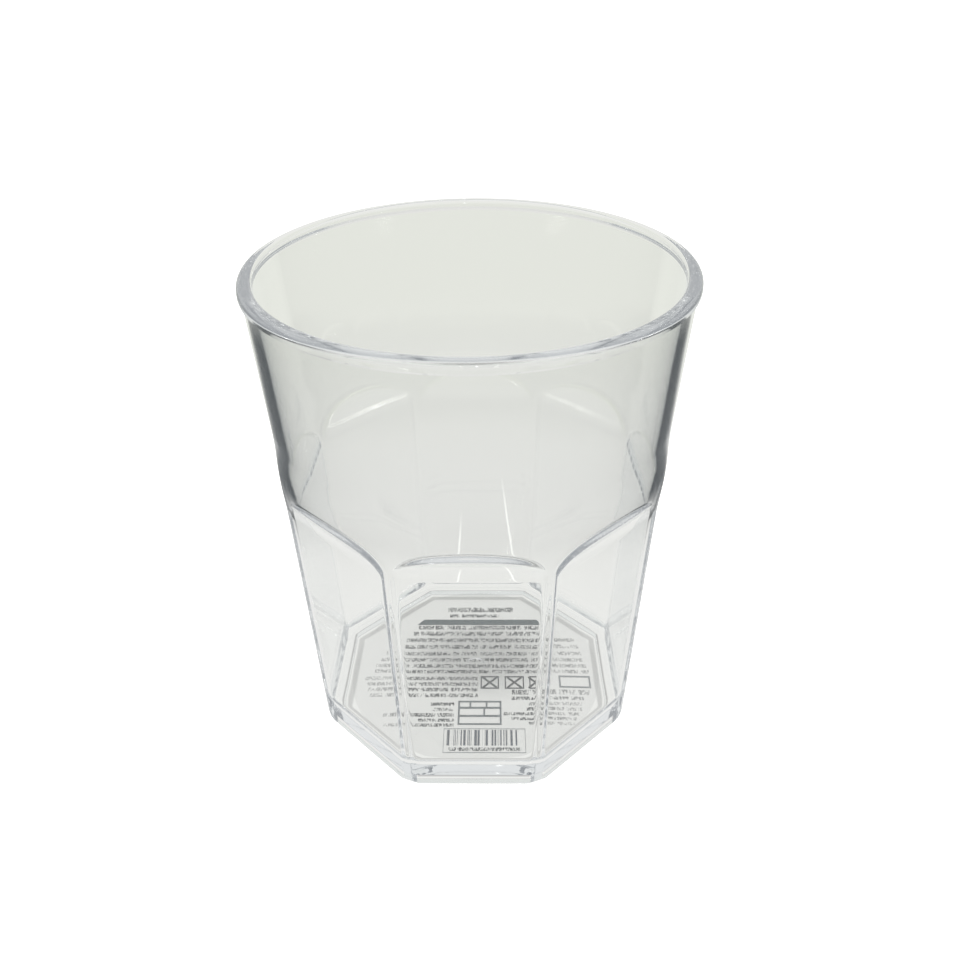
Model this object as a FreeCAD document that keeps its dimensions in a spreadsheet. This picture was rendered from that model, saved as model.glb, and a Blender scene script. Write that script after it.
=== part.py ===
import FreeCAD, Part
import math
import os
import Sketcher

# Clear moulded tumbler with a round flared wall above eight arched panels.
# Millimetres, +Z up, origin at the middle of the foot, one panel facing -Y.

SIZES = {
    # rim
    "cup_height": 100.0,
    "rim_radius": 41.5,
    "lip_height": 2.5,
    "lip_slope": 0.6,
    "lip_round": 1.3,
    "mouth_bevel": 0.8,
    # round wall above the panels
    "wall_top": 40.84,
    "wall_foot": 38.724,
    "wall_foot_height": 71.29,
    # slight waist where the wall meets the panelled body
    "waist_top": 38.56,
    "waist_top_height": 67.5,
    "waist_foot": 38.534,
    "waist_foot_height": 64.5,
    # rounded corners between the panels
    "corner_top": 38.434,
    "corner_top_height": 61.0,
    "corner_foot": 35.0,
    "corner_round": 2.0,
    # eight flat panels, each ending in an arched cove
    "panel_count": 8.0,
    "panel_foot": 32.6,
    "panel_top": 35.49,
    "panel_height": 55.0,
    "foot_round": 1.0,
    "cove_radius": 10.0,
    "cove_reach": 5.0,
    "cove_rise": 8.135,
    # wall and floor
    "round_wall": 2.1,
    "panel_wall": 2.0,
    "floor_height": 4.0,
    "floor_round": 3.5,
    "floor_corner": 4.0,
    "floor_corner_step": 1.17,
    "inner_cove_radius": 12.0,
    "inner_cove_reach": 6.0,
    "inner_cove_rise": 9.762,
    # mark of the moulding gate, a shallow dimple in the floor
    "gate_radius": 2.1,
    "gate_depth": 0.35,
    "gate_round": 6.475,
    # foot ring and the recess inside it
    "ring_width": 3.1,
    "recess_depth": 1.2,
    # round film stuck in the recess
    "label_margin": 1.0,
    "label_thick": 0.15,
    # how far a cutting outline runs past the cup
    "spare": 8.0,
}

# Distance of the recess's sides from the axis, and the film's radius, as sums of sizes
RECESS = "panel_foot - foot_round - ring_width"
LABEL = RECESS + " - label_margin"

doc = FreeCAD.newDocument("Tumbler")


def fill_sheet():
    """Put every driving size in the sheet, one row each, with its alias."""
    sheet = doc.addObject("Spreadsheet::Sheet", "Sizes")
    for row, (alias, value) in enumerate(SIZES.items(), start=1):
        sheet.set("A%d" % row, alias)
        sheet.set("B%d" % row, str(value))
        sheet.setAlias("B%d" % row, alias)
    doc.recompute()
    return sheet


def amount(words):
    """Value of a sum of sizes, such as 'rim_radius - lip_round'."""
    total = 0.0
    sign = 1.0
    for word in words.split():
        if word in ("+", "-"):
            sign = 1.0 if word == "+" else -1.0
        else:
            total += sign * SIZES[word]
    return total


def formula(words):
    """The same sum, as an expression that reads the sheet."""
    return " ".join(word if word in ("+", "-") else "Sizes." + word for word in words.split())


def new_body(label):
    body = doc.addObject("PartDesign::Body", label)
    body.Label = label
    return body


def new_sketch(body, name, plane_role):
    """An empty sketch on one of the body's own origin planes."""
    sketch = body.newObject("Sketcher::SketchObject", name)
    plane = [item for item in body.Origin.OriginFeatures if item.Role == plane_role][0]
    sketch.AttachmentSupport = [(plane, "")]
    sketch.MapMode = "FlatFace"
    return sketch


def pin_point(sketch, edge, end, axis, words, name):
    """Hold one coordinate of a point at a sum of sizes."""
    value = amount(words) if words else 0.0
    if value == 0.0:
        axis_line = -2 if axis == "X" else -1
        sketch.addConstraint(Sketcher.Constraint("PointOnObject", edge, end, axis_line))
        return
    if value > 0.0:
        hold = Sketcher.Constraint("Distance" + axis, -1, 1, edge, end, value)
        expression = formula(words)
    else:
        hold = Sketcher.Constraint("Distance" + axis, edge, end, -1, 1, -value)
        expression = "-(" + formula(words) + ")"
    index = sketch.addConstraint(hold)
    sketch.renameConstraint(index, name)
    sketch.setExpression("Constraints." + name, expression)


def arc_between(start, end, radius, turn):
    """Arc from start to end, turning left or right on the way."""
    chord = end - start
    middle = (start + end) * 0.5
    height = math.sqrt(max(radius * radius - chord.Length * chord.Length / 4.0, 0.0))
    side = FreeCAD.Vector(-chord.y, chord.x, 0).normalize()
    if turn == "right":
        side = side * -1.0
    centre = middle + side * height
    first, last = (start, end) if turn == "left" else (end, start)
    from_angle = math.atan2(first.y - centre.y, first.x - centre.x)
    to_angle = math.atan2(last.y - centre.y, last.x - centre.x)
    circle = Part.Circle(centre, FreeCAD.Vector(0, 0, 1), radius)
    return Part.ArcOfCircle(circle, from_angle, to_angle)


def draw_outline(sketch, corners):
    """Closed outline. A corner is (across, up), or (across, up, radius, turn) at the end of an arc."""
    points = [FreeCAD.Vector(amount(c[0]) if c[0] else 0.0, amount(c[1]) if c[1] else 0.0, 0)
              for c in corners]
    ends = []
    for number, corner in enumerate(corners):
        start = points[number - 1]
        end = points[number]
        if len(corner) == 2:
            edge = sketch.addGeometry(Part.LineSegment(start, end), False)
            ends.append((edge, 1, 2))
            continue
        edge = sketch.addGeometry(arc_between(start, end, amount(corner[2]), corner[3]), False)
        ends.append((edge, 1, 2) if corner[3] == "left" else (edge, 2, 1))
    for number, (edge, first, last) in enumerate(ends):
        before = ends[number - 1]
        sketch.addConstraint(Sketcher.Constraint("Coincident", before[0], before[2], edge, first))
    for number, corner in enumerate(corners):
        edge, first, last = ends[number]
        pin_point(sketch, edge, last, "X", corner[0], "across_%d" % number)
        pin_point(sketch, edge, last, "Y", corner[1], "up_%d" % number)
        if len(corner) == 4:
            index = sketch.addConstraint(Sketcher.Constraint("Radius", edge, amount(corner[2])))
            sketch.renameConstraint(index, "bend_%d" % number)
            sketch.setExpression("Constraints.bend_%d" % number, formula(corner[2]))
    doc.recompute()


def turn_solid(body, name, corners):
    """Revolve an outline about the cup's axis."""
    sketch = new_sketch(body, name + "_outline", "XZ_Plane")
    draw_outline(sketch, corners)
    solid = body.newObject("PartDesign::Revolution", name)
    solid.Profile = sketch
    solid.ReferenceAxis = (sketch, ["V_Axis"])
    solid.Angle = 360.0
    doc.recompute()
    return solid


def cut_panels(body, name, corners):
    """Slice one flat panel with its cove across the body, then repeat it round the axis."""
    sketch = new_sketch(body, name + "_outline", "YZ_Plane")
    draw_outline(sketch, corners)
    cut = body.newObject("PartDesign::Pocket", name)
    cut.Profile = sketch
    cut.Type = "Length"
    cut.Midplane = True
    cut.setExpression("Length", "4 * Sizes.rim_radius")
    doc.recompute()
    around = body.newObject("PartDesign::PolarPattern", name + "s")
    around.Originals = [cut]
    axis = [item for item in body.Origin.OriginFeatures if item.Role == "Z_Axis"][0]
    around.Axis = (axis, [""])
    around.Angle = 360.0
    around.setExpression("Occurrences", "Sizes.panel_count")
    body.Tip = around
    doc.recompute()
    return around


def octagon_recess(body):
    """Shallow eight-sided recess that leaves a foot ring under the panels."""
    count = int(SIZES["panel_count"])
    half_step = math.pi / count
    reach = amount(RECESS) / math.cos(half_step)
    sketch = new_sketch(body, "recess_outline", "XY_Plane")
    ring = sketch.addGeometry(Part.Circle(FreeCAD.Vector(0, 0, 0), FreeCAD.Vector(0, 0, 1), reach), True)
    sketch.addConstraint(Sketcher.Constraint("Coincident", ring, 3, -1, 1))
    index = sketch.addConstraint(Sketcher.Constraint("Radius", ring, reach))
    sketch.renameConstraint(index, "reach")
    expression = "(%s) / cos(180 deg / Sizes.panel_count)" % formula(RECESS)
    sketch.setExpression("Constraints.reach", expression)
    angles = [-math.pi / 2 - half_step + 2 * half_step * step for step in range(count + 1)]
    points = [FreeCAD.Vector(reach * math.cos(angle), reach * math.sin(angle), 0) for angle in angles]
    sides = [sketch.addGeometry(Part.LineSegment(points[step], points[step + 1]), False)
             for step in range(count)]
    for step, side in enumerate(sides):
        sketch.addConstraint(Sketcher.Constraint("Coincident", sides[step - 1], 2, side, 1))
        sketch.addConstraint(Sketcher.Constraint("PointOnObject", side, 1, ring))
        if step:
            sketch.addConstraint(Sketcher.Constraint("Equal", sides[0], side))
    sketch.addConstraint(Sketcher.Constraint("Horizontal", sides[0]))
    doc.recompute()
    recess = body.newObject("PartDesign::Pocket", "recess")
    recess.Profile = sketch
    recess.Type = "Length"
    recess.Reversed = True
    recess.setExpression("Length", "Sizes.recess_depth")
    body.Tip = recess
    doc.recompute()
    return recess


def make_outside():
    """Outer form of the cup: a turned blank with its lip, sliced by the panels."""
    body = new_body("outer_form")
    turn_solid(body, "outer_blank", [
        ("", ""),
        ("corner_foot - corner_round", ""),
        ("corner_foot", "corner_round", "corner_round", "left"),
        ("corner_top", "corner_top_height"),
        ("waist_foot", "waist_foot_height"),
        ("waist_top", "waist_top_height"),
        ("wall_foot", "wall_foot_height"),
        ("wall_top", "cup_height - lip_height"),
        ("rim_radius", "cup_height - lip_height + lip_slope"),
        ("rim_radius", "cup_height - lip_round"),
        ("rim_radius - lip_round", "cup_height", "lip_round", "left"),
        ("", "cup_height"),
    ])
    cut_panels(body, "panel", [
        ("panel_foot - foot_round", "- spare"),
        ("panel_foot - foot_round", ""),
        ("panel_foot", "foot_round", "foot_round", "left"),
        ("panel_top", "panel_height"),
        ("panel_top + cove_reach", "panel_height + cove_rise", "cove_radius", "right"),
        ("panel_top + cove_reach + spare", "panel_height + cove_rise"),
        ("panel_top + cove_reach + spare", "- spare"),
    ])
    octagon_recess(body)
    return body


def make_inside():
    """Form of the hollow: the outer form moved in by the wall, standing on the floor."""
    body = new_body("inner_form")
    turn_solid(body, "inner_blank", [
        ("", "floor_height - gate_depth"),
        ("gate_radius", "floor_height", "gate_round", "left"),
        ("corner_foot - round_wall - floor_corner", "floor_height"),
        ("corner_foot - round_wall - floor_corner_step", "floor_height + floor_corner_step"),
        ("corner_foot - round_wall", "floor_height + floor_corner"),
        ("corner_top - round_wall", "corner_top_height"),
        ("waist_foot - round_wall", "waist_foot_height"),
        ("waist_top - round_wall", "waist_top_height"),
        ("wall_foot - round_wall", "wall_foot_height"),
        ("wall_top - round_wall", "cup_height - mouth_bevel"),
        ("wall_top - round_wall + mouth_bevel", "cup_height"),
        ("wall_top - round_wall + mouth_bevel", "cup_height + spare"),
        ("", "cup_height + spare"),
    ])
    cut_panels(body, "inner_panel", [
        ("panel_foot - panel_wall - floor_round", "floor_height - spare"),
        ("panel_foot - panel_wall - floor_round", "floor_height"),
        ("panel_foot - panel_wall", "floor_height + floor_round", "floor_round", "left"),
        ("panel_top - panel_wall", "panel_height"),
        ("panel_top - panel_wall + inner_cove_reach", "panel_height + inner_cove_rise",
         "inner_cove_radius", "right"),
        ("panel_top + inner_cove_reach + spare", "panel_height + inner_cove_rise"),
        ("panel_top + inner_cove_reach + spare", "floor_height - spare"),
    ])
    return body


def make_tumbler(outside, inside):
    """The moulded cup: the outer form less the hollow."""
    cup = doc.addObject("Part::Cut", "tumbler")
    cup.Label = "tumbler"
    cup.Base = outside
    cup.Tool = inside
    cup.Placement = FreeCAD.Placement()
    doc.recompute()
    return cup


def make_label():
    """Thin round film on the roof of the recess."""
    body = new_body("base_label")
    sketch = new_sketch(body, "label_outline", "XY_Plane")
    centre = FreeCAD.Vector(0, 0, 0)
    disc = sketch.addGeometry(Part.Circle(centre, FreeCAD.Vector(0, 0, 1), amount(LABEL)), False)
    sketch.addConstraint(Sketcher.Constraint("Coincident", disc, 3, -1, 1))
    index = sketch.addConstraint(Sketcher.Constraint("Radius", disc, amount(LABEL)))
    sketch.renameConstraint(index, "label_radius")
    sketch.setExpression("Constraints.label_radius", formula(LABEL))
    film = body.newObject("PartDesign::Pad", "film")
    film.Profile = sketch
    film.setExpression("Length", "Sizes.label_thick")
    body.setExpression("Placement.Base.z", "Sizes.recess_depth - Sizes.label_thick")
    doc.recompute()
    return body


def check_document():
    """Stop if any feature of the document failed."""
    for item in doc.Objects:
        if "Invalid" in item.State or "Error" in item.State:
            raise RuntimeError("%s did not build: %s" % (item.Label, item.State))


def check_piece(piece):
    """Stop if a piece is empty, broken or not one solid."""
    shape = piece.Shape
    if shape.isNull() or not shape.isValid() or len(shape.Solids) != 1:
        raise RuntimeError("%s is not one sound solid" % piece.Label)
    box = shape.BoundBox
    print("%s: %.1f cm3, %.2f x %.2f x %.2f mm" % (
        piece.Label, shape.Volume / 1000.0, box.XLength, box.YLength, box.ZLength))


fill_sheet()
pieces = [make_tumbler(make_outside(), make_inside()), make_label()]
doc.recompute()
check_document()
for piece in pieces:
    check_piece(piece)
os.makedirs("parts", exist_ok=True)
for piece in pieces:
    piece.Shape.exportStep("parts/%s.step" % piece.Label)
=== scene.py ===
import math

import bmesh
import bpy
from mathutils import Matrix, Vector


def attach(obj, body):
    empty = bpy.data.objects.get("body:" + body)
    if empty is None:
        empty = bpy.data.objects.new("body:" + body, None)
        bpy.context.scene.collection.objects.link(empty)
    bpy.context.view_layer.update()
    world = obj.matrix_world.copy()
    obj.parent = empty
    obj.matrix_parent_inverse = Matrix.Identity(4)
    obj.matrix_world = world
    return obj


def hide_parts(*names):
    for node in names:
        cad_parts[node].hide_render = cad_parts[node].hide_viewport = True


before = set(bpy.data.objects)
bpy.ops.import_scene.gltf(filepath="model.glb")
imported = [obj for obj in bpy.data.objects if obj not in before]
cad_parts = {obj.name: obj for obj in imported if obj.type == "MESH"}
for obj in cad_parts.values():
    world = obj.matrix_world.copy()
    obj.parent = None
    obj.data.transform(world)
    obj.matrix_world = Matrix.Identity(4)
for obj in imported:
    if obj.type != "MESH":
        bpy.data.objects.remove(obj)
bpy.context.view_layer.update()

# Clear moulded tumbler with eight arched panels. Sizes are millimetres, made metres at the mesh.
MM = 0.001

# Camera, as it stood for the photograph
PHOTO_WIDTH = 960
FOCAL_PIXELS = 987.87
SENSOR = 36.0
AIM = (1.451, 0.024, 53.86)
CAMERA_DISTANCE = 202.44
CAMERA_ELEVATION = 32.163
CAMERA_AZIMUTH = 0.934
CAMERA_ROLL = -0.593
NEAR_CLIP = 0.01

# Rim
CUP_HEIGHT = 100.0
RIM_RADIUS = 41.5
LIP_HEIGHT = 2.5
LIP_SLOPE = 0.6
LIP_ROUND = 1.3
MOUTH_ROUND = 1.0

# Round wall and the slight waist under it
WALL_TOP = 40.84
WALL_FOOT = 38.724
WALL_FOOT_HEIGHT = 71.29
WAIST_RADIUS = 38.534
WAIST_HIGH = 66.52
WAIST_LOW = 64.47
WAIST_ROUND = 60.0
CORNER_TOP = 38.434
CORNER_TOP_HEIGHT = 61.0
CORNER_FOOT = 35.0
CORNER_ROUND = 2.0

# Panels and their coves
PANEL_COUNT = 8
PANEL_FOOT = 32.6
PANEL_TOP = 35.49
PANEL_HEIGHT = 55.0
FOOT_ROUND = 1.0
COVE_RADIUS = 10.0

# Wall, floor and recess
ROUND_WALL = 2.1
PANEL_WALL = 2.0
FLOOR_HEIGHT = 4.0
FLOOR_ROUND = 3.5
FLOOR_CORNER = 4.0
GATE_RADIUS = 2.1
GATE_STEP = 0.15
RECESS_INRADIUS = 28.5
RECESS_DEPTH = 1.2
LABEL_RADIUS = 27.5
LABEL_THICK = 0.15
LABEL_GAP = 0.03

# Soft lamps: azimuth from the far side, elevation, width, height, strength
LAMPS = (
    ("right_low_strip", 95.0, 3.0, 0.50, 0.04, 9.0),
    ("left_low_strip", -94.0, 3.0, 0.40, 0.03, 6.0),
    ("front_strip", 176.0, 30.0, 0.03, 0.40, 4.0),
)
LAMP_DISTANCE = 0.8
LAMP_AIM_HEIGHT = 0.05
LAMP_BOUNCES = 7
LAMP_GAIN = 2.0
PLASTIC_TURNS = 150

# Floor: its own white, and the painted contact shadow, dark lines where the foot ring stands (distance,
# width, depth)
FLOOR_SIZE = 3.0
FLOOR_DROP = 0.05
WHITE = (1.0, 1.0, 1.0, 1.0)
PAPER_COLOUR = (0.92, 0.92, 0.91, 1.0)
WHITE_LIFT = 0.86
CONTACT_SHADOW_LINES = ((27.1, 0.9, 0.42), (28.9, 0.7, 0.6))
CONTACT_SHADOW_CORE = 0.4

# Floor and room as the plastic shows them
THROUGH_LEVEL = 0.86
THROUGH_COLOUR = (0.945, 0.96, 0.905, 1.0)
NEAR_COLOUR = (0.995, 0.995, 0.99, 1.0)
TINT_START = 60.0
TINT_END = 260.0
ROOM_COLOUR = (0.80, 0.80, 0.785, 1.0)

# Painted shade: a dark ring painted on the floor, which light turned back inside the wall shows as side
# streaks
SHADE_START = 80.0
SHADE_END = 115.0
RING_START = 210.0
RING_END = 280.0
RING_LOSS = 0.55
SHADE_COLOUR = (0.02, 0.03, 0.04, 1.0)
SHADE_TURNS = 6.0
SHADE_LEVEL = 0.75
SHADE_THROUGH = 0.25
ASIDE_SLOPE = 0.85
ASIDE_START = -14.0
ASIDE_END = 12.0

# Painted tones for light that has met the plastic many times: an even grey, then a darker painted shade
EVEN_START = 4.2
EVEN_END = 7.5
PAINTED_EVEN_GREY = (0.74, 0.76, 0.78, 1.0)
DEEP_START = 14.0
DEEP_END = 40.0
PAINTED_DEEP_SHADE = (0.28, 0.30, 0.33, 1.0)

# Painted light lines on the floor behind the cup, standing in for light its corners gather: near and far
# ends
FOCUSED_PAINTED_LINES = ((-5.5, 40.0, -5.4, 73.0), (10.2, 40.0, 6.7, 94.0))
FOCUSED_WIDTH = 0.45
FOCUSED_PAINTED_LIGHT = 0.35
FOCUSED_START = 3.0

# Printed fields of the film: left, right, near and far edges in millimetres
BLUE_BANDS = ((-3.0, 28.3, 15.3, 17.1),)
HEADING_ROWS = ((-7.1, 9.0, 20.1, 21.7), (-6.6, 5.5, 18.1, 19.1), (8.3, 24.9, -8.1, -6.7))
SMALL_ROWS = (
    (-14.1, 15.7, 13.6, 14.9), (-15.2, 19.3, 11.4, 12.7), (-16.7, 22.8, 9.1, 10.3), (-17.1, 23.6, 6.8, 8.0),
    (-20.5, 24.6, 4.5, 5.6), (-21.5, 24.6, 2.4, 3.5), (-22.5, 24.9, 0.4, 1.5), (-22.6, 25.3, -1.4, -0.4),
    (-24.5, 0.6, -3.6, -2.6), (-23.8, 0.6, -5.4, -4.4), (-23.4, 0.6, -7.1, -6.1), (-22.8, 0.6, -8.9, -7.9),
    (-9.8, -4.6, -11.5, -10.6), (-9.3, -4.6, -13.1, -12.2), (-19.2, -4.5, -14.8, -13.8),
    (-12.4, -4.5, -16.2, -15.4), (-18.9, -4.5, -17.6, -16.8),
    (8.2, 23.4, -9.7, -8.8), (12.0, 22.8, -11.4, -10.5), (11.5, 22.7, -12.9, -12.0),
    (6.3, 21.9, -14.3, -13.5),
    (8.1, 21.3, -15.7, -14.9), (11.8, 20.8, -17.1, -16.3), (-5.4, 10.0, -24.3, -23.4),
)
DARK_FIELDS = ((1.2, 5.4, -6.3, -2.4), (6.7, 11.1, -6.3, -2.4), (12.3, 15.3, -6.3, -2.4))
GREY_FIELDS = ((-3.7, 5.9, -17.1, -10.1), (18.3, 25.4, -6.0, -2.3), (-6.6, 11.0, -24.8, -18.2))
PALE_FIELDS = (
    (1.5, 5.1, -6.0, -2.7), (7.0, 10.8, -6.0, -2.7), (12.6, 15.0, -6.0, -2.7), (18.7, 25.0, -5.6, -2.7),
    (-3.3, -1.2, -11.9, -10.5), (-0.8, 2.4, -11.9, -10.5), (2.8, 5.5, -11.9, -10.5),
    (-3.3, 1.9, -14.3, -12.4), (2.3, 5.5, -14.3, -12.4), (-3.3, 5.5, -16.7, -14.8),
    (-6.5, 10.9, -24.7, -18.3),
)
STRIPED_FIELDS = ((-5.9, 9.2, -22.8, -18.6),)
CROSS_MIDDLES = ((3.3, -4.35), (8.9, -4.35), (13.8, -4.35))
CROSS_REACH = 1.75
CROSS_WIDTH = 0.32
BAND_MIDDLE = 0.9
BAND_SLANT = 0.85

# Inks of the fields
BAND_INK = (0.16, 0.23, 0.26, 1.0)
GREY_INK = (0.40, 0.46, 0.50, 1.0)
DARK_INK = (0.07, 0.08, 0.10, 1.0)
CROSS_INK = (0.07, 0.08, 0.09, 1.0)
ROW_INK = (0.10, 0.11, 0.12, 1.0)
HEADING_INK = (0.12, 0.13, 0.14, 1.0)
STRIPE_INK = (0.14, 0.18, 0.26, 1.0)

# Broken rows: word-like gaps, strokes, bold and faint places, and faint sides of the disc
WORD_STRETCH = (0.75, 0.30)
WORD_GAPS = (0.33, 0.39)
STROKE_STRETCH = (2.6, 1.5)
STROKE_EDGES = (0.40, 0.58)
STROKE_INK = (0.75, 0.22)
BOLD_SCALE = 0.5
BOLD_EDGES = (0.35, 0.68)
BOLD_INK = (0.50, 0.65)
SIDE_EDGES = (12.0, 20.0)
SIDE_LOSS = 0.35
STRIPE_SCALE = 1.7
STRIPE_EDGES = (0.49, 0.53)
PRINT_SCALE = 1.0
FINE_DETAIL = 1.0
COARSE_DETAIL = 2.0

# Film under the print, with its grey haze of fine print
FILM_DARK = (0.84, 0.845, 0.83, 1.0)
FILM_PALE = (0.90, 0.905, 0.89, 1.0)
CLOUD_SCALE = 0.12
FILM_COVER = 0.10
FILM_ROUGHNESS = 0.35
FILM_IOR = 1.5
HAZE_COLOUR = (0.42, 0.43, 0.43, 1.0)
HAZE_COVER = 0.20
HAZE_MIDDLE = (1.0, 4.0)
HAZE_STRETCH = 1.3
HAZE_START = 6.0
HAZE_END = 22.0

# Clear plastic: soft ripples and a faint unevenness of polish
PLASTIC_COLOUR = (0.985, 0.99, 0.975, 1.0)
PLASTIC_IOR = 1.57
FLOW_SCALE = 90.0
FLOW_DETAIL = 1.0
FLOW_HEIGHT = 0.003
WEAR_SCALE = 60.0
WEAR_DETAIL = 3.0
WEAR_EDGES = (0.45, 0.75)
WEAR_ROUGHNESS = 0.02

# Steps of the cup's mesh
HALF_PANEL = math.pi / PANEL_COUNT
ARCH_STEPS = 40
TURN_STEP = 10
INNER_STEPS = 12
OUTER_STEPS = 4
FOOT_STEPS = 9
RIM_STEPS = 14
WAIST_STEPS = 5
LABEL_SIDES = 128
SEARCH_STEPS = 50
SEARCH_REACH = 0.9
CORNER_SHARES = (0.2, 0.45, 0.7, 0.88)
OUTER_RIM_SHARES = (0.35, 0.7, 1.0)
INNER_RIM_SHARES = (0.65, 0.3)
SPINE_RISE = 2.0
GATE_PROFILE = ((1.0, 0.0), (0.98, 0.15), (0.95, 0.5), (0.92, 0.85), (0.9, 1.0), (0.5, 1.0), (0.0, 1.0))

# Rounded edges
EDGE_ROUND = 0.3
ARCH_ROUND = 0.5
ARCH_ROUND_STEPS = 8
EDGE_OFFSETS = (1.8, 1.0, 0.65, 0.3)
LEAST_ROUND = 0.02
SLOPE_STEP = 0.01
WELD_DISTANCE = 0.002
THIN_EDGE = 0.001
SHARP_ANGLE = 28.0


def blend(low, high, share):
    return low + (high - low) * share


def make_camera():
    """Camera at the photograph's place, with its focal length."""
    lens = bpy.data.cameras.new("photo_camera")
    lens.sensor_width = SENSOR
    lens.lens = SENSOR * FOCAL_PIXELS / PHOTO_WIDTH
    lens.clip_start = NEAR_CLIP
    camera = bpy.data.objects.new("photo_camera", lens)
    bpy.context.collection.objects.link(camera)
    turn = Matrix.Rotation(math.radians(CAMERA_AZIMUTH), 3, "Z")
    lean = math.radians(CAMERA_ELEVATION)
    roll = math.radians(CAMERA_ROLL)
    forward = turn @ Vector((0.0, math.cos(lean), -math.sin(lean)))
    level = turn @ Vector((1.0, 0.0, 0.0))
    rise = level.cross(forward)
    right = level * math.cos(roll) + rise * math.sin(roll)
    up = rise * math.cos(roll) - level * math.sin(roll)
    axes = Matrix((right, up, -forward)).transposed().to_4x4()
    place = (Vector(AIM) - forward * CAMERA_DISTANCE) * MM
    camera.matrix_world = Matrix.Translation(place) @ axes
    bpy.context.scene.camera = camera


class Wall:
    """One face of the cup's wall: a turned form, sliced by flat panels that end in coves."""

    def __init__(self, foot_height, corner_round, panel_round, round_inset, panel_inset):
        self.foot_height = foot_height
        self.corner_round = corner_round
        self.panel_round = panel_round
        self.round_inset = round_inset
        self.cove_radius = COVE_RADIUS + panel_inset
        self.panel_top = PANEL_TOP - panel_inset
        self.panel_foot = PANEL_FOOT - panel_inset
        self.lean = math.atan((PANEL_TOP - PANEL_FOOT) / (PANEL_HEIGHT - FOOT_ROUND))
        self.corner_angle = self.edge_angle(PANEL_HEIGHT)

    def radius(self, height):
        """Radius of the turned form at a height."""
        above = height - self.foot_height
        corner_foot = CORNER_FOOT - self.round_inset
        if above < self.corner_round:
            low = self.corner_round - above
            return corner_foot - self.corner_round + math.sqrt(self.corner_round ** 2 - low ** 2)
        if height < CORNER_TOP_HEIGHT:
            start = self.foot_height + self.corner_round
            share = (height - start) / (CORNER_TOP_HEIGHT - start)
            return blend(corner_foot, CORNER_TOP - self.round_inset, share)
        if height < WAIST_LOW:
            bulge = math.sqrt(WAIST_ROUND ** 2 - (WAIST_LOW - height) ** 2)
            return WAIST_RADIUS - WAIST_ROUND + bulge - self.round_inset
        if height < WAIST_HIGH:
            return WAIST_RADIUS - self.round_inset
        if height < WALL_FOOT_HEIGHT:
            bulge = math.sqrt(WAIST_ROUND ** 2 - (height - WAIST_HIGH) ** 2)
            return WAIST_RADIUS + WAIST_ROUND - bulge - self.round_inset
        top = CUP_HEIGHT - LIP_HEIGHT if self.round_inset == 0.0 else CUP_HEIGHT - MOUTH_ROUND
        share = (height - WALL_FOOT_HEIGHT) / (top - WALL_FOOT_HEIGHT)
        return blend(WALL_FOOT, WALL_TOP, share) - self.round_inset

    def distance(self, height):
        """Distance of a panel, or of its cove, from the axis."""
        above = height - self.foot_height
        if above < self.panel_round:
            low = self.panel_round - above
            return self.panel_foot - self.panel_round + math.sqrt(self.panel_round ** 2 - low ** 2)
        if height <= PANEL_HEIGHT:
            start = self.foot_height + self.panel_round
            share = (height - start) / (PANEL_HEIGHT - start)
            return blend(self.panel_foot, self.panel_top, share)
        sine = min((height - PANEL_HEIGHT) / self.cove_radius + math.sin(self.lean), 1.0)
        return self.panel_top + self.cove_radius * (math.cos(self.lean) - math.sqrt(1.0 - sine * sine))

    def edge_angle(self, height):
        """Angle from the middle of a panel to its edge with the round form."""
        return math.acos(min(self.distance(height) / self.radius(height), 1.0))

    def arch_height(self, angle):
        """Height of the arched edge at an angle from the middle of a panel."""
        if angle >= self.corner_angle:
            return PANEL_HEIGHT
        low = PANEL_HEIGHT
        high = PANEL_HEIGHT + self.cove_radius * SEARCH_REACH
        for _ in range(SEARCH_STEPS):
            middle = (low + high) / 2.0
            if self.distance(middle) < self.radius(middle) * math.cos(angle):
                low = middle
            else:
                high = middle
        return low

    def gap(self, angle, height):
        """How far the panel lies outside the turned form, along a radius; negative where it cuts in."""
        return self.distance(height) / math.cos(angle) - self.radius(height)

    def point(self, angle, height, softness):
        """Point of the wall, with the edge between panel and turned form rounded off."""
        turned = self.radius(height)
        panel = self.distance(height) / math.cos(angle)
        near = max(softness - abs(turned - panel), 0.0) / softness
        return angle, min(turned, panel) - near * near * softness / 4.0, height

    def edge_line(self):
        """Edge of the panel from the foot to the top of its arch: angle, height and outward direction."""
        line = []
        for step in range(FOOT_STEPS + 1):
            turn = math.pi / 2.0 * step / FOOT_STEPS
            height = self.foot_height + self.corner_round * (1.0 - math.cos(turn))
            line.append((self.edge_angle(height), height, 1.0, 0.0))
        start = self.foot_height + self.corner_round
        for share in CORNER_SHARES:
            height = blend(start, PANEL_HEIGHT, share)
            line.append((self.edge_angle(height), height, 1.0, 0.0))
        arch = []
        for step in range(ARCH_STEPS + 1):
            angle = self.corner_angle * math.cos(math.pi / 2.0 * step / ARCH_STEPS)
            arch.append((angle, self.arch_height(angle)))
        arch[0] = (self.corner_angle, PANEL_HEIGHT)
        for step, (angle, height) in enumerate(arch):
            if step in (0, ARCH_STEPS):
                across, rise = (1.0, 0.0) if step == 0 else (0.0, 1.0)
            else:
                before, after = arch[step - 1], arch[step + 1]
                rise = (before[0] - after[0]) * self.panel_top
                across = after[1] - before[1]
                size = math.hypot(across, rise)
                across, rise = across / size, rise / size
            line.append((angle, height, across, rise))
        return line

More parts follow.
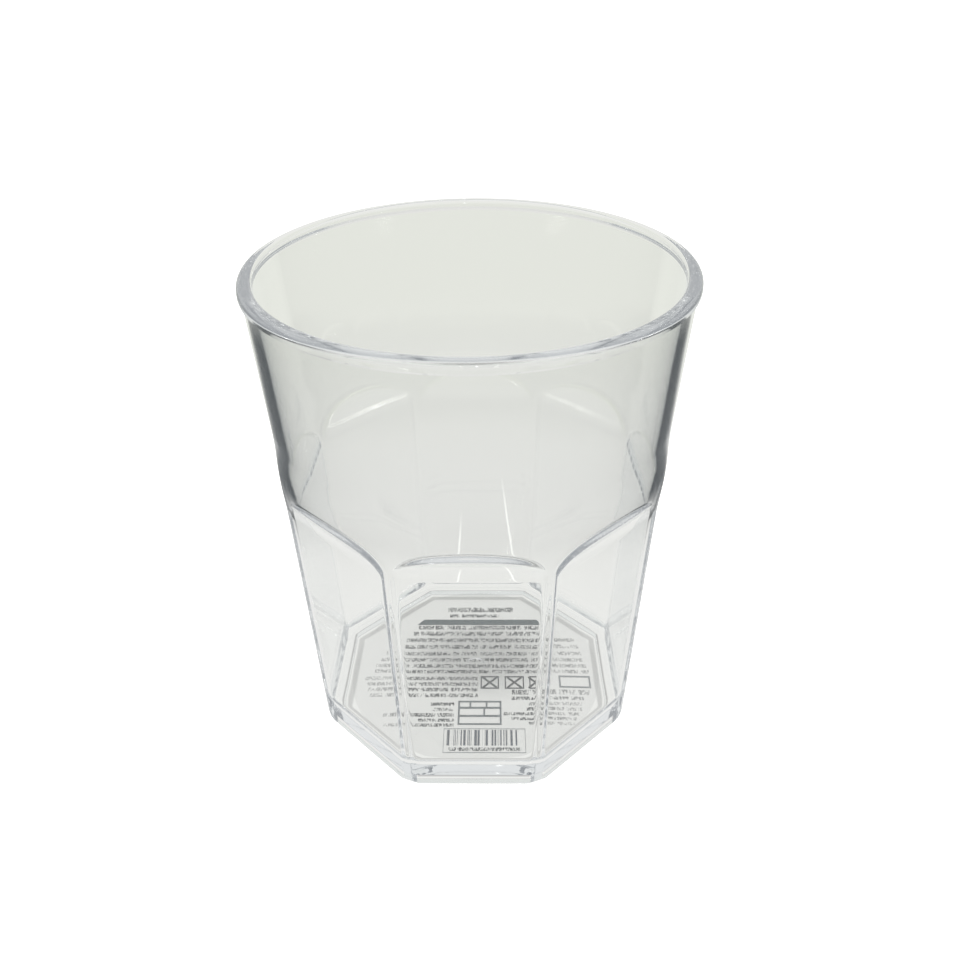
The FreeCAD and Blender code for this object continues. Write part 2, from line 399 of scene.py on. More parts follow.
    def patch(self):
        """Grid of points over half a panel: one row across the edge for each point of the edge line."""
        line = self.edge_line()
        low_rows = len(line) - ARCH_STEPS - 1
        rows = []
        for place, (angle, height, across, rise) in enumerate(line):
            step = place - low_rows
            if step <= 0:
                spine = (0.0, height)
                border = (HALF_PANEL, height)
            else:
                spine = (0.0, blend(PANEL_HEIGHT, PANEL_HEIGHT + SPINE_RISE, step / ARCH_STEPS))
                if step <= TURN_STEP:
                    border = (HALF_PANEL, blend(PANEL_HEIGHT, WAIST_HIGH, step / TURN_STEP))
                else:
                    share = (step - TURN_STEP) / (ARCH_STEPS - TURN_STEP)
                    border = (HALF_PANEL * (1.0 - share), WAIST_HIGH)
            scale = self.panel_top
            before = self.gap(angle - across * SLOPE_STEP / scale, height - rise * SLOPE_STEP)
            after = self.gap(angle + across * SLOPE_STEP / scale, height + rise * SLOPE_STEP)
            edge_round = blend(EDGE_ROUND, ARCH_ROUND, min(max(step / ARCH_ROUND_STEPS, 0.0), 1.0))
            offsets = [offset * edge_round for offset in EDGE_OFFSETS]
            softness = max(edge_round * (after - before) / (2.0 * SLOPE_STEP), LEAST_ROUND)
            row = []
            inner_end = (angle - across * offsets[0] / scale, height - rise * offsets[0])
            for share in range(INNER_STEPS):
                mix = share / INNER_STEPS
                row.append((blend(spine[0], inner_end[0], mix), blend(spine[1], inner_end[1], mix)))
            for offset in offsets:
                row.append((angle - across * offset / scale, height - rise * offset))
            row.append((angle, height))
            for offset in reversed(offsets):
                row.append((angle + across * offset / scale, height + rise * offset))
            outer_end = row[-1]
            for share in range(1, OUTER_STEPS + 1):
                mix = share / OUTER_STEPS
                row.append((blend(outer_end[0], border[0], mix), blend(outer_end[1], border[1], mix)))
            rows.append([self.point(turn, level, softness) for turn, level in row])
        return rows


def waist_points(wall, angle):
    """Points up the waist, from the panels' band to the foot of the plain round wall."""
    points = []
    for step in range(1, WAIST_STEPS + 1):
        height = blend(WAIST_HIGH, WALL_FOOT_HEIGHT, step / WAIST_STEPS)
        points.append((angle, wall.radius(height), height))
    return points


def rim_points(outer_angle, inner_angle):
    """Points of one column over the lip, from the outer wall to the inner wall."""
    points = []
    lip_foot = CUP_HEIGHT - LIP_HEIGHT
    for share in OUTER_RIM_SHARES:
        height = blend(WALL_FOOT_HEIGHT, lip_foot, share)
        points.append((outer_angle, blend(WALL_FOOT, WALL_TOP, share), height))
    points.append((outer_angle, RIM_RADIUS, lip_foot + LIP_SLOPE))
    for step in range(RIM_STEPS + 1):
        turn = math.pi / 2.0 * step / RIM_STEPS
        reach = RIM_RADIUS - LIP_ROUND + LIP_ROUND * math.cos(turn)
        points.append((outer_angle, reach, CUP_HEIGHT - LIP_ROUND + LIP_ROUND * math.sin(turn)))
    inner_top = WALL_TOP - ROUND_WALL
    for step in range(RIM_STEPS + 1):
        turn = math.pi / 2.0 * step / RIM_STEPS
        reach = inner_top + MOUTH_ROUND - MOUTH_ROUND * math.sin(turn)
        points.append((inner_angle, reach, CUP_HEIGHT - MOUTH_ROUND + MOUTH_ROUND * math.cos(turn)))
    for share in INNER_RIM_SHARES:
        height = blend(WALL_FOOT_HEIGHT, CUP_HEIGHT - MOUTH_ROUND, share)
        points.append((inner_angle, blend(WALL_FOOT, WALL_TOP, share) - ROUND_WALL, height))
    return points


def floor_points(angle):
    """Points of one column over the floor, down the gate mark's step and to the axis."""
    return [(angle, GATE_RADIUS * out, FLOOR_HEIGHT - GATE_STEP * down) for out, down in GATE_PROFILE]


def wall_columns(outer, inner):
    """Grids of points of half a sector: outside, inside, lip, foot ring and floor."""
    outside = outer.patch()
    inside = inner.patch()
    top = len(outside) - ARCH_STEPS - 1 + TURN_STEP
    lip = []
    for out_row, in_row in zip(outside[top:], inside[top:]):
        out_angle = out_row[-1][0]
        in_angle = in_row[-1][0]
        lip.append([out_row[-1]] + waist_points(outer, out_angle) + rim_points(out_angle, in_angle)
                   + waist_points(inner, in_angle)[::-1] + [in_row[-1]])
    foot = []
    for angle, reach, height in outside[0]:
        recess = RECESS_INRADIUS / math.cos(angle)
        foot.append([(angle, 0.0, RECESS_DEPTH), (angle, recess, RECESS_DEPTH), (angle, recess, 0.0),
                     (angle, reach, height)])
    floor = [[(angle, reach, height)] + floor_points(angle) for angle, reach, height in inside[0]]
    return outside, inside, lip, foot, floor


def turned(angle, reach, height):
    """Place in metres of a point given by its angle from -Y, distance from the axis and height."""
    return reach * math.sin(angle) * MM, -reach * math.cos(angle) * MM, height * MM


def panel_sector():
    """Mesh of one eighth of the cup, with its panel facing -Y."""
    outer = Wall(0.0, CORNER_ROUND, FOOT_ROUND, 0.0, 0.0)
    inner = Wall(FLOOR_HEIGHT, FLOOR_CORNER, FLOOR_ROUND, ROUND_WALL, PANEL_WALL)
    mesh = bpy.data.meshes.new("panel_sector")
    form = bmesh.new()
    for grid in wall_columns(outer, inner):
        for side in (1.0, -1.0):
            verts = [[form.verts.new(turned(side * angle, reach, height)) for angle, reach, height in row]
                     for row in grid]
            for low, high in zip(verts, verts[1:]):
                for place in range(len(low) - 1):
                    form.faces.new((low[place], low[place + 1], high[place + 1], high[place]))
    bmesh.ops.remove_doubles(form, verts=form.verts, dist=WELD_DISTANCE * MM)
    bmesh.ops.recalc_face_normals(form, faces=form.faces)
    form.to_mesh(mesh)
    form.free()
    return mesh


def link(tree, source, source_socket, target, target_socket):
    tree.links.new(source.outputs[source_socket], target.inputs[target_socket])


def ring_tree():
    """Geometry tree that repeats a sector round the axis and welds the seams."""
    tree = bpy.data.node_groups.new("ring_of_panels", "GeometryNodeTree")
    for name, kind in (("Geometry", "NodeSocketGeometry"), ("Panels", "NodeSocketInt"),
                       ("Weld", "NodeSocketFloat"), ("Plastic", "NodeSocketMaterial")):
        tree.interface.new_socket(name, in_out="INPUT", socket_type=kind)
    tree.interface.new_socket("Geometry", in_out="OUTPUT", socket_type="NodeSocketGeometry")
    given = tree.nodes.new("NodeGroupInput")
    result = tree.nodes.new("NodeGroupOutput")
    points = tree.nodes.new("GeometryNodePoints")
    place = tree.nodes.new("GeometryNodeInstanceOnPoints")
    index = tree.nodes.new("GeometryNodeInputIndex")
    step = tree.nodes.new("ShaderNodeMath")
    step.operation = "DIVIDE"
    step.inputs[0].default_value = 2.0 * math.pi
    turn = tree.nodes.new("ShaderNodeMath")
    turn.operation = "MULTIPLY"
    axis_turn = tree.nodes.new("ShaderNodeCombineXYZ")
    realize = tree.nodes.new("GeometryNodeRealizeInstances")
    weld = tree.nodes.new("GeometryNodeMergeByDistance")
    paint = tree.nodes.new("GeometryNodeSetMaterial")
    link(tree, given, "Panels", points, "Count")
    link(tree, points, "Points", place, "Points")
    link(tree, given, "Geometry", place, "Instance")
    tree.links.new(given.outputs["Panels"], step.inputs[1])
    tree.links.new(index.outputs[0], turn.inputs[0])
    tree.links.new(step.outputs[0], turn.inputs[1])
    link(tree, turn, 0, axis_turn, "Z")
    link(tree, axis_turn, 0, place, "Rotation")
    link(tree, place, "Instances", realize, "Geometry")
    link(tree, realize, "Geometry", weld, "Geometry")
    link(tree, given, "Weld", weld, "Distance")
    link(tree, weld, "Geometry", paint, "Geometry")
    link(tree, given, "Plastic", paint, "Material")
    link(tree, paint, "Geometry", result, "Geometry")
    return tree


def set_input(modifier, name, value):
    """Set a geometry tree's named input on its modifier."""
    for item in modifier.node_group.interface.items_tree:
        if item.item_type == "SOCKET" and item.in_out == "INPUT" and item.name == name:
            modifier[item.identifier] = value


def plain_mesh(piece, name):
    """Turn a piece and its modifiers into a plain mesh on a new object."""
    bpy.context.view_layer.update()
    graph = bpy.context.evaluated_depsgraph_get()
    mesh = bpy.data.meshes.new_from_object(piece.evaluated_get(graph), depsgraph=graph)
    mesh.name = name
    bpy.data.objects.remove(piece)
    done = bpy.data.objects.new(name, mesh)
    bpy.context.collection.objects.link(done)
    return done


def make_cup(plastic):
    """The clear cup, one welded mesh."""
    sector = bpy.data.objects.new("cup_sector", panel_sector())
    bpy.context.collection.objects.link(sector)
    ring = sector.modifiers.new("ring", "NODES")
    ring.node_group = ring_tree()
    set_input(ring, "Panels", PANEL_COUNT)
    set_input(ring, "Weld", WELD_DISTANCE * MM)
    set_input(ring, "Plastic", plastic)
    cup = plain_mesh(sector, "clear_cup")
    form = bmesh.new()
    form.from_mesh(cup.data)
    bmesh.ops.dissolve_degenerate(form, dist=THIN_EDGE * MM, edges=form.edges)
    bmesh.ops.recalc_face_normals(form, faces=form.faces)
    form.to_mesh(cup.data)
    form.free()
    for face in cup.data.polygons:
        face.use_smooth = True
    cup.data.set_sharp_from_angle(angle=math.radians(SHARP_ANGLE))
    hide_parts("tumbler")
    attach(cup, "root")
    return cup


def add_node(tree, kind, **settings):
    """Add a node and set its own properties."""
    node = tree.nodes.new(kind)
    for name, value in settings.items():
        setattr(node, name, value)
    return node


def math_node(tree, operation, first, second=None, third=None):
    """Math node on sockets or plain numbers; gives its output."""
    node = add_node(tree, "ShaderNodeMath", operation=operation)
    for place, value in enumerate((first, second, third)):
        if value is None:
            continue
        if isinstance(value, (int, float)):
            node.inputs[place].default_value = value
        else:
            tree.links.new(value, node.inputs[place])
    return node.outputs[0]


def opposite(tree, value):
    """One less the value."""
    return math_node(tree, "SUBTRACT", 1.0, value)


def distance_from(tree, value, middle):
    """How far a value lies from a middle, to either side."""
    return math_node(tree, "ABSOLUTE", math_node(tree, "SUBTRACT", value, middle))


def smooth_step(tree, value, low, high):
    """Value eased from 0 to 1 between two bounds."""
    node = add_node(tree, "ShaderNodeMapRange", interpolation_type="SMOOTHSTEP")
    tree.links.new(value, node.inputs["Value"])
    node.inputs["From Min"].default_value = low
    node.inputs["From Max"].default_value = high
    return node.outputs[0]


def noise(tree, vector, scale, detail, **settings):
    """Noise texture on a vector; gives its value."""
    texture = add_node(tree, "ShaderNodeTexNoise", **settings)
    texture.inputs["Scale"].default_value = scale
    texture.inputs["Detail"].default_value = detail
    tree.links.new(vector, texture.inputs["Vector"])
    return texture.outputs[0]


def clear_plastic():
    """Clear polystyrene with a faint grey-green cast."""
    material = bpy.data.materials.new("clear_plastic")
    material.use_nodes = True
    shader = material.node_tree.nodes["Principled BSDF"]
    shader.inputs["Base Color"].default_value = PLASTIC_COLOUR
    tree = material.node_tree
    place = add_node(tree, "ShaderNodeTexCoord").outputs["Object"]
    ripple = add_node(tree, "ShaderNodeBump")
    ripple.inputs["Strength"].default_value = 1.0
    ripple.inputs["Distance"].default_value = FLOW_HEIGHT * MM
    tree.links.new(noise(tree, place, FLOW_SCALE, FLOW_DETAIL), ripple.inputs["Height"])
    tree.links.new(ripple.outputs[0], shader.inputs["Normal"])
    polish = smooth_step(tree, noise(tree, place, WEAR_SCALE, WEAR_DETAIL), *WEAR_EDGES)
    tree.links.new(math_node(tree, "MULTIPLY", polish, WEAR_ROUGHNESS), shader.inputs["Roughness"])
    shader.inputs["IOR"].default_value = PLASTIC_IOR
    shader.inputs["Transmission Weight"].default_value = 1.0
    return material


def unreflected(tree, path):
    """1 for light that wasn't reflected on its way, 0 for other light."""
    return math_node(tree, "LESS_THAN", path.outputs["Glossy Depth"], 0.5)


def bar_mask():
    """Shared tree: 1 inside an upright rectangle, 0 outside."""
    tree = bpy.data.node_groups.new("printed_bar", "ShaderNodeTree")
    for name in ("X", "Y", "Left", "Right", "Near", "Far"):
        tree.interface.new_socket(name, in_out="INPUT", socket_type="NodeSocketFloat")
    tree.interface.new_socket("Mask", in_out="OUTPUT", socket_type="NodeSocketFloat")
    given = add_node(tree, "NodeGroupInput").outputs
    result = add_node(tree, "NodeGroupOutput")
    past_left = math_node(tree, "GREATER_THAN", given["X"], given["Left"])
    short_of_right = math_node(tree, "LESS_THAN", given["X"], given["Right"])
    past_near = math_node(tree, "GREATER_THAN", given["Y"], given["Near"])
    short_of_far = math_node(tree, "LESS_THAN", given["Y"], given["Far"])
    wide = math_node(tree, "MULTIPLY", past_left, short_of_right)
    deep = math_node(tree, "MULTIPLY", past_near, short_of_far)
    tree.links.new(math_node(tree, "MULTIPLY", wide, deep), result.inputs["Mask"])
    return tree


def printed(tree, group, x, y, bars):
    """Mask of all the bars in a list of left, right, near and far edges."""
    total = None
    for edges in bars:
        bar = add_node(tree, "ShaderNodeGroup", node_tree=group)
        tree.links.new(x, bar.inputs["X"])
        tree.links.new(y, bar.inputs["Y"])
        for name, value in zip(("Left", "Right", "Near", "Far"), edges):
            bar.inputs[name].default_value = value
        mask = bar.outputs["Mask"]
        total = mask if total is None else math_node(tree, "MAXIMUM", total, mask)
    return total


def paint_over(tree, under, mask, colour):
    """Mix a colour over another where the mask is 1."""
    mix = add_node(tree, "ShaderNodeMix", data_type="RGBA")
    tree.links.new(mask, mix.inputs["Factor"])
    tree.links.new(under, mix.inputs["A"])
    mix.inputs["B"].default_value = colour
    return mix.outputs["Result"]


def stretched(tree, x, y, scales):
    """Vector of the two coordinates, each times its own scale."""
    vector = add_node(tree, "ShaderNodeCombineXYZ")
    tree.links.new(math_node(tree, "MULTIPLY", x, scales[0]), vector.inputs["X"])
    tree.links.new(math_node(tree, "MULTIPLY", y, scales[1]), vector.inputs["Y"])
    return vector.outputs[0]


def row_ink(tree, place, x, y):
    """Uneven ink of the small rows: gaps, strokes, bold and faint places, fainter at the disc's sides."""
    gaps_at = stretched(tree, x, y, WORD_STRETCH)
    strokes_at = stretched(tree, x, y, STROKE_STRETCH)
    words = noise(tree, gaps_at, PRINT_SCALE, COARSE_DETAIL, noise_dimensions="2D")
    strokes = noise(tree, strokes_at, PRINT_SCALE, FINE_DETAIL, noise_dimensions="2D")
    bold = noise(tree, place, BOLD_SCALE, COARSE_DETAIL, noise_dimensions="2D")
    word = smooth_step(tree, words, *WORD_GAPS)
    stroke = math_node(tree, "MULTIPLY_ADD", smooth_step(tree, strokes, *STROKE_EDGES), *STROKE_INK)
    weight = math_node(tree, "MULTIPLY_ADD", smooth_step(tree, bold, *BOLD_EDGES), *BOLD_INK)
    ink = math_node(tree, "MULTIPLY", math_node(tree, "MULTIPLY", word, stroke), weight)
    side = smooth_step(tree, math_node(tree, "ABSOLUTE", x), *SIDE_EDGES)
    return math_node(tree, "MULTIPLY", ink, math_node(tree, "MULTIPLY_ADD", side, -SIDE_LOSS, 1.0))


def upright_stripes(tree, x):
    """Upright stripes of uneven width."""
    ruled = add_node(tree, "ShaderNodeTexNoise", noise_dimensions="1D")
    ruled.inputs["Scale"].default_value = STRIPE_SCALE
    ruled.inputs["Detail"].default_value = FINE_DETAIL
    tree.links.new(x, ruled.inputs["W"])
    return smooth_step(tree, ruled.outputs[0], *STRIPE_EDGES)


def crosses(tree, x, y):
    """Mask of the diagonal crosses in the small dark boxes."""
    total = None
    for middle, depth in CROSS_MIDDLES:
        across = distance_from(tree, x, middle)
        along = distance_from(tree, y, depth)
        thin = math_node(tree, "LESS_THAN", distance_from(tree, across, along), CROSS_WIDTH)
        arms = math_node(tree, "LESS_THAN", math_node(tree, "MAXIMUM", across, along), CROSS_REACH)
        cross = math_node(tree, "MULTIPLY", thin, arms)
        total = cross if total is None else math_node(tree, "MAXIMUM", total, cross)
    return total


def print_haze(tree, x, y):
    """Grey haze of fine print, 1 at its middle."""
    beside = math_node(tree, "POWER", math_node(tree, "SUBTRACT", x, HAZE_MIDDLE[0]), 2.0)
    beyond = math_node(tree, "MULTIPLY", math_node(tree, "SUBTRACT", y, HAZE_MIDDLE[1]), HAZE_STRETCH)
    beyond = math_node(tree, "POWER", beyond, 2.0)
    away = math_node(tree, "SQRT", math_node(tree, "ADD", beside, beyond))
    return opposite(tree, smooth_step(tree, away, HAZE_START, HAZE_END))


def label_film():
    """Pale film with generic printed fields: rows of dashes, boxes, a slanted band and upright stripes."""
    material = bpy.data.materials.new("label_film")
    material.use_nodes = True
    tree = material.node_tree
    shader = tree.nodes["Principled BSDF"]
    place = add_node(tree, "ShaderNodeTexCoord")
    scale = add_node(tree, "ShaderNodeMapping")
    scale.inputs["Scale"].default_value = (1.0 / MM, 1.0 / MM, 1.0 / MM)
    tree.links.new(place.outputs["Object"], scale.inputs["Vector"])
    split = add_node(tree, "ShaderNodeSeparateXYZ")
    tree.links.new(scale.outputs[0], split.inputs[0])
    x = split.outputs["X"]
    y = split.outputs["Y"]
    group = bar_mask()
    ink = row_ink(tree, scale.outputs[0], x, y)

    film = add_node(tree, "ShaderNodeMix", data_type="RGBA")
    film.inputs["A"].default_value = FILM_DARK
    film.inputs["B"].default_value = FILM_PALE
    tree.links.new(noise(tree, scale.outputs[0], CLOUD_SCALE, COARSE_DETAIL), film.inputs["Factor"])
    haze = print_haze(tree, x, y)
    colour = paint_over(tree, film.outputs["Result"], haze, HAZE_COLOUR)

    # Fields in the order in which they are printed over each other
    slant = math_node(tree, "MULTIPLY_ADD", y, BAND_SLANT, distance_from(tree, x, BAND_MIDDLE))
    open_parts = opposite(tree, printed(tree, group, x, y, PALE_FIELDS))
    layers = [(printed(tree, group, slant, y, BLUE_BANDS), BAND_INK)]
    for bars, tint in ((GREY_FIELDS, GREY_INK), (DARK_FIELDS, DARK_INK)):
        layers.append((math_node(tree, "MULTIPLY", printed(tree, group, x, y, bars), open_parts), tint))
    layers.append((crosses(tree, x, y), CROSS_INK))
    for bars, strength, tint in ((SMALL_ROWS, ink, ROW_INK), (HEADING_ROWS, ink, HEADING_INK),
                                 (STRIPED_FIELDS, upright_stripes(tree, x), STRIPE_INK)):
        layers.append((math_node(tree, "MULTIPLY", printed(tree, group, x, y, bars), strength), tint))
    inked = None
    for mask, tint in layers:
        colour = paint_over(tree, colour, mask, tint)
        inked = mask if inked is None else math_node(tree, "MAXIMUM", inked, mask)
    tree.links.new(colour, shader.inputs["Base Color"])

    # The print shows only to light that comes straight from it
    path = add_node(tree, "ShaderNodeLightPath")
    inked = math_node(tree, "MULTIPLY", inked, unreflected(tree, path))
    cover = math_node(tree, "MULTIPLY_ADD", haze, HAZE_COVER, FILM_COVER)
    tree.links.new(math_node(tree, "MAXIMUM", inked, cover), shader.inputs["Alpha"])
    shader.inputs["Roughness"].default_value = FILM_ROUGHNESS
    shader.inputs["IOR"].default_value = FILM_IOR
    return material


def make_label():
    """Thin printed film under the floor."""
    mesh = bpy.data.meshes.new("film_label")
    form = bmesh.new()
    top = RECESS_DEPTH - LABEL_GAP
    rings = ((0.0, top - LABEL_THICK), (LABEL_RADIUS, top - LABEL_THICK), (LABEL_RADIUS, top), (0.0, top))
    loops = []
    for radius, height in rings:
        if radius == 0.0:
            loops.append([form.verts.new((0.0, 0.0, height * MM))] * LABEL_SIDES)
            continue
        loop = []
        for side in range(LABEL_SIDES):
            turn = 2.0 * math.pi * side / LABEL_SIDES
            place = (radius * math.cos(turn) * MM, radius * math.sin(turn) * MM, height * MM)
            loop.append(form.verts.new(place))
        loops.append(loop)
    for low, high in zip(loops, loops[1:]):
        for side in range(LABEL_SIDES):
            after = (side + 1) % LABEL_SIDES
            corners = []
            for vert in (low[side], low[after], high[after], high[side]):
                if vert not in corners:
                    corners.append(vert)
            form.faces.new(corners)
    bmesh.ops.recalc_face_normals(form, faces=form.faces)
    form.to_mesh(mesh)
    form.free()
    label = bpy.data.objects.new("film_label", mesh)
    bpy.context.collection.objects.link(label)
    mesh.materials.append(label_film())
    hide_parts("base_label")
    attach(label, "root")
    return label


def painted_contact_shadow(tree, x, y):
    """Painted contact shadow: light left where the eight-sided foot ring touches the floor, thin dark lines
    at its two edges.
    """
    across = math_node(tree, "ABSOLUTE", x)
    along = math_node(tree, "ABSOLUTE", y)
    slanted = math_node(tree, "MULTIPLY", math_node(tree, "ADD", across, along), math.sqrt(0.5))
    reach = math_node(tree, "MAXIMUM", math_node(tree, "MAXIMUM", across, along), slanted)
    light = None
    for edge, width, depth in CONTACT_SHADOW_LINES:
        off = distance_from(tree, reach, edge * MM)
        line = opposite(tree, smooth_step(tree, off, width * CONTACT_SHADOW_CORE * MM, width * MM))
        left = opposite(tree, math_node(tree, "MULTIPLY", line, depth))
        light = left if light is None else math_node(tree, "MULTIPLY", light, left)
    return light


def painted_depth_shade(tree, path, colour):
    """Painted shade: colour that turns to one even grey tone, then to a darker grey, for light that has met
    the plastic many times.
    """
    many = smooth_step(tree, path.outputs["Ray Depth"], EVEN_START, EVEN_END)
    even = paint_over(tree, colour, many, PAINTED_EVEN_GREY)
    deep = smooth_step(tree, path.outputs["Ray Depth"], DEEP_START, DEEP_END)
    return paint_over(tree, even, deep, PAINTED_DEEP_SHADE)


def painted_focused_light(tree, x, y):
    """Painted light: thin light lines on the floor behind the cup, where its corners would gather the light.
    """
    total = None
    for near_x, near_y, far_x, far_y in FOCUSED_PAINTED_LINES:
        slope = (far_x - near_x) / (far_y - near_y)
        middle = math_node(tree, "MULTIPLY_ADD", y, slope, (near_x - slope * near_y) * MM)
        off = distance_from(tree, x, middle)
        line = opposite(tree, smooth_step(tree, off, 0.0, FOCUSED_WIDTH * MM))
        start = smooth_step(tree, y, (near_y - FOCUSED_START) * MM, near_y * MM)
        fade = opposite(tree, smooth_step(tree, y, blend(near_y, far_y, 0.5) * MM, far_y * MM))
        line = math_node(tree, "MULTIPLY", math_node(tree, "MULTIPLY", line, start), fade)
        total = line if total is None else math_node(tree, "ADD", total, line)
    return math_node(tree, "MULTIPLY", total, FOCUSED_PAINTED_LIGHT)


def painted_side_shade(tree, path, x, y, reach):
    """Depth of the painted shade ring beside the cup, which only light turned back in the plastic meets."""
    starting = smooth_step(tree, reach, SHADE_START * MM, SHADE_END * MM)
    ending = smooth_step(tree, reach, RING_START * MM, RING_END * MM)
    far = math_node(tree, "SUBTRACT", starting, math_node(tree, "MULTIPLY", ending, RING_LOSS))
    along = math_node(tree, "MULTIPLY", y, ASIDE_SLOPE)
    aside = math_node(tree, "SUBTRACT", math_node(tree, "ABSOLUTE", x), along)
    far = math_node(tree, "MULTIPLY", far, smooth_step(tree, aside, ASIDE_START * MM, ASIDE_END * MM))
    turned_back = math_node(tree, "MINIMUM", path.outputs["Glossy Depth"], 1.0)
    seldom = math_node(tree, "LESS_THAN", path.outputs["Glossy Depth"], SHADE_TURNS + 0.5)
    turned_back = math_node(tree, "MULTIPLY", turned_back, seldom)
    share = math_node(tree, "MULTIPLY_ADD", path.outputs["Is Transmission Ray"], SHADE_THROUGH, SHADE_LEVEL)
    return math_node(tree, "MULTIPLY", math_node(tree, "MULTIPLY", far, turned_back), share)


def floor_level(tree, path, x, y):
    """Brightness of the floor through the plastic, with its painted contact shadow lines and its painted
    light lines.
    """
    reflected = math_node(tree, "MINIMUM", path.outputs["Glossy Depth"], 1.0)
    level = math_node(tree, "MAXIMUM", painted_contact_shadow(tree, x, y), reflected)
    level = math_node(tree, "MULTIPLY", level, THROUGH_LEVEL)
    return math_node(tree, "ADD", level, painted_focused_light(tree, x, y))


def either(tree, share, first, second):
    """Shader mixed from two by a share; gives its output."""
    mix = add_node(tree, "ShaderNodeMixShader")
    tree.links.new(share, mix.inputs[0])
    tree.links.new(first, mix.inputs[1])
    tree.links.new(second, mix.inputs[2])
    return mix.outputs[0]


def floor_paint():
    """White floor: plain white to the camera, pale grey through the plastic, with painted shade at its
    sides.
    """
    material = bpy.data.materials.new("floor_white")
    material.use_nodes = True
    tree = material.node_tree
    tree.nodes.clear()
    out = add_node(tree, "ShaderNodeOutputMaterial")
    place = add_node(tree, "ShaderNodeTexCoord")
    split = add_node(tree, "ShaderNodeSeparateXYZ")
    tree.links.new(place.outputs["Object"], split.inputs[0])
    x = split.outputs["X"]
    y = split.outputs["Y"]
    path = add_node(tree, "ShaderNodeLightPath")
    across = math_node(tree, "MULTIPLY", x, x)
    along = math_node(tree, "MULTIPLY", y, y)
    reach = math_node(tree, "SQRT", math_node(tree, "ADD", across, along))

    # As the plastic shows it
    tint = add_node(tree, "ShaderNodeMix", data_type="RGBA")
    tint.inputs["A"].default_value = NEAR_COLOUR
    tint.inputs["B"].default_value = THROUGH_COLOUR
    tree.links.new(smooth_step(tree, reach, TINT_START * MM, TINT_END * MM), tint.inputs["Factor"])
    # Painted shade: the dark ring at the floor's sides
    shaded = paint_over(tree, tint.outputs["Result"], painted_side_shade(tree, path, x, y, reach), SHADE_COLOUR)
    lit = add_node(tree, "ShaderNodeVectorMath", operation="SCALE")
    tree.links.new(shaded, lit.inputs[0])
    tree.links.new(floor_level(tree, path, x, y), lit.inputs["Scale"])
    through = add_node(tree, "ShaderNodeEmission")
    tree.links.new(painted_depth_shade(tree, path, lit.outputs[0]), through.inputs["Color"])

    # As it is, and as the camera sees it
    paper = add_node(tree, "ShaderNodeBsdfDiffuse")
    paper.inputs["Color"].default_value = PAPER_COLOUR
    white = add_node(tree, "ShaderNodeEmission")
    white.inputs["Strength"].default_value = WHITE_LIFT
    bright = add_node(tree, "ShaderNodeAddShader")
    tree.links.new(paper.outputs[0], bright.inputs[0])
    tree.links.new(white.outputs[0], bright.inputs[1])
    passed = path.outputs["Is Transmission Ray"]
    mirrored = path.outputs["Is Glossy Ray"]
    unseen = either(tree, math_node(tree, "MAXIMUM", passed, mirrored), paper.outputs[0], through.outputs[0])
    seen = either(tree, path.outputs["Is Camera Ray"], unseen, bright.outputs[0])
    tree.links.new(seen, out.inputs["Surface"])
    return material


def make_stage():
    """White floor."""
    mesh = bpy.data.meshes.new("floor")
    form = bmesh.new()
    bmesh.ops.create_grid(form, x_segments=1, y_segments=1, size=FLOOR_SIZE)
    bmesh.ops.translate(form, verts=form.verts, vec=(0.0, 0.0, -FLOOR_DROP * MM))
    form.to_mesh(mesh)
    form.free()
    floor = bpy.data.objects.new("floor", mesh)
    bpy.context.collection.objects.link(floor)
    mesh.materials.append(floor_paint())


def make_world():
    """Plain pale surroundings, white to the camera, with painted shade for light that has met the plastic
    many times.
    """
    world = bpy.data.worlds.new("studio")
    world.use_nodes = True
    bpy.context.scene.world = world
    tree = world.node_tree
    tree.nodes.clear()
    out = add_node(tree, "ShaderNodeOutputWorld")
    sky = add_node(tree, "ShaderNodeBackground")
    room = add_node(tree, "ShaderNodeRGB")
    room.outputs[0].default_value = ROOM_COLOUR
    path = add_node(tree, "ShaderNodeLightPath")
    tree.links.new(painted_depth_shade(tree, path, room.outputs[0]), sky.inputs["Color"])
    white = add_node(tree, "ShaderNodeBackground")
    white.inputs["Color"].default_value = WHITE
    seen = either(tree, path.outputs["Is Camera Ray"], sky.outputs[0], white.outputs[0])
    tree.links.new(seen, out.inputs["Surface"])


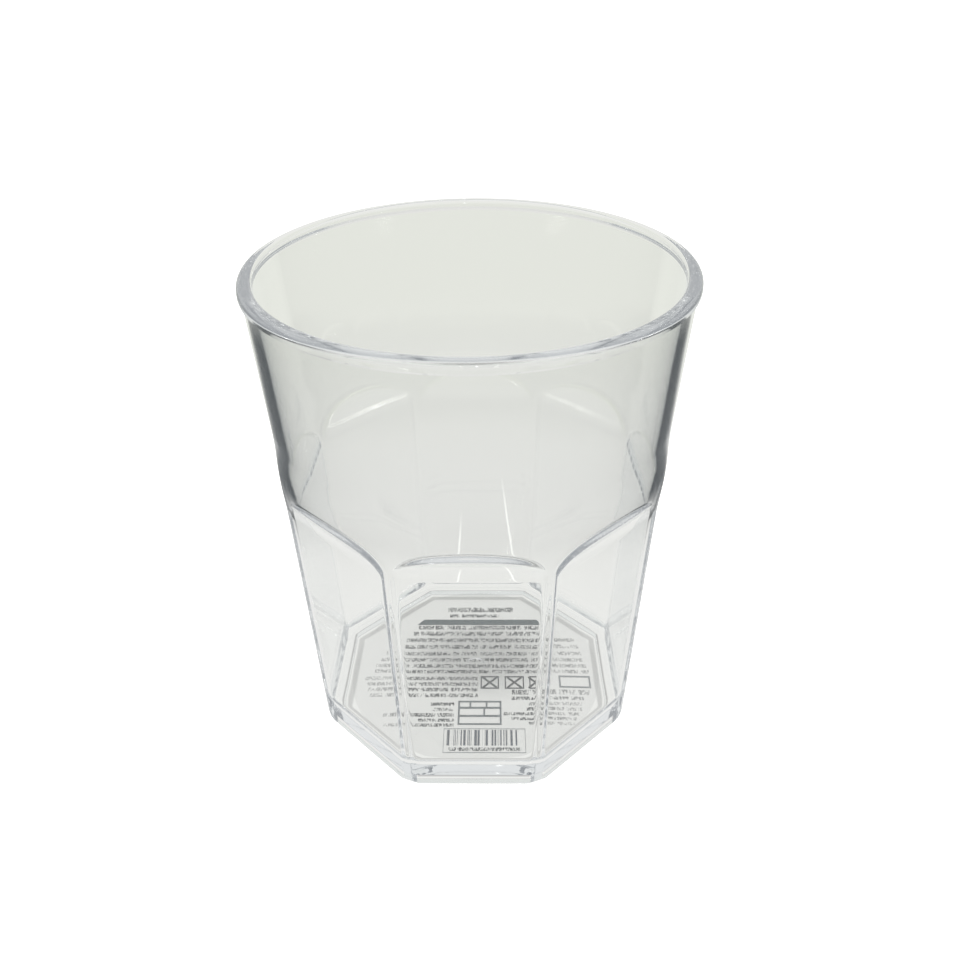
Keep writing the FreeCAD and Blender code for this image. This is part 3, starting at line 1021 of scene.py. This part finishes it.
def reflected_only(light):
    """Make a lamp fade towards its sides, and show as a reflection but not straight through the plastic."""
    light.use_nodes = True
    tree = light.node_tree
    glow = tree.nodes["Emission"]
    path = add_node(tree, "ShaderNodeLightPath")
    passed = math_node(tree, "GREATER_THAN", path.outputs["Transmission Depth"], 0.5)
    straight = math_node(tree, "MULTIPLY", passed, unreflected(tree, path))
    level = math_node(tree, "SUBTRACT", LAMP_GAIN, math_node(tree, "MULTIPLY", straight, LAMP_GAIN))
    place = add_node(tree, "ShaderNodeNewGeometry")
    split = add_node(tree, "ShaderNodeSeparateXYZ")
    tree.links.new(place.outputs["Parametric"], split.inputs[0])
    for side in ("X", "Y"):
        fade = opposite(tree, smooth_step(tree, distance_from(tree, split.outputs[side], 0.5), 0.0, 0.5))
        level = math_node(tree, "MULTIPLY", level, fade)
    tree.links.new(level, glow.inputs["Strength"])


def make_lamps():
    """Soft strip lamps whose small reflections lie on the coves, the rim and the walls."""
    for name, azimuth, elevation, width, height, strength in LAMPS:
        light = bpy.data.lights.new(name, "AREA")
        light.shape = "RECTANGLE"
        light.size = width
        light.size_y = height
        light.energy = strength * math.pi * width * height
        light.cycles.max_bounces = LAMP_BOUNCES
        reflected_only(light)
        lamp = bpy.data.objects.new(name, light)
        bpy.context.collection.objects.link(lamp)
        turn = math.radians(azimuth)
        lean = math.radians(elevation)
        towards = Vector((math.sin(turn) * math.cos(lean), math.cos(turn) * math.cos(lean), math.sin(lean)))
        lamp.location = towards * LAMP_DISTANCE + Vector((0.0, 0.0, LAMP_AIM_HEIGHT))
        lamp.rotation_euler = towards.to_track_quat("Z", "Y").to_euler()
        lamp.visible_camera = False


def let_light_through():
    """Enough bounces for light that turns many times in the clear wall."""
    light = bpy.context.scene.cycles
    light.max_bounces = PLASTIC_TURNS
    light.transmission_bounces = PLASTIC_TURNS
    light.glossy_bounces = PLASTIC_TURNS
    light.transparent_max_bounces = PLASTIC_TURNS


make_camera()
bpy.context.scene.view_settings.view_transform = "Standard"
let_light_through()
make_world()
make_lamps()
make_stage()
make_cup(clear_plastic())
make_label()
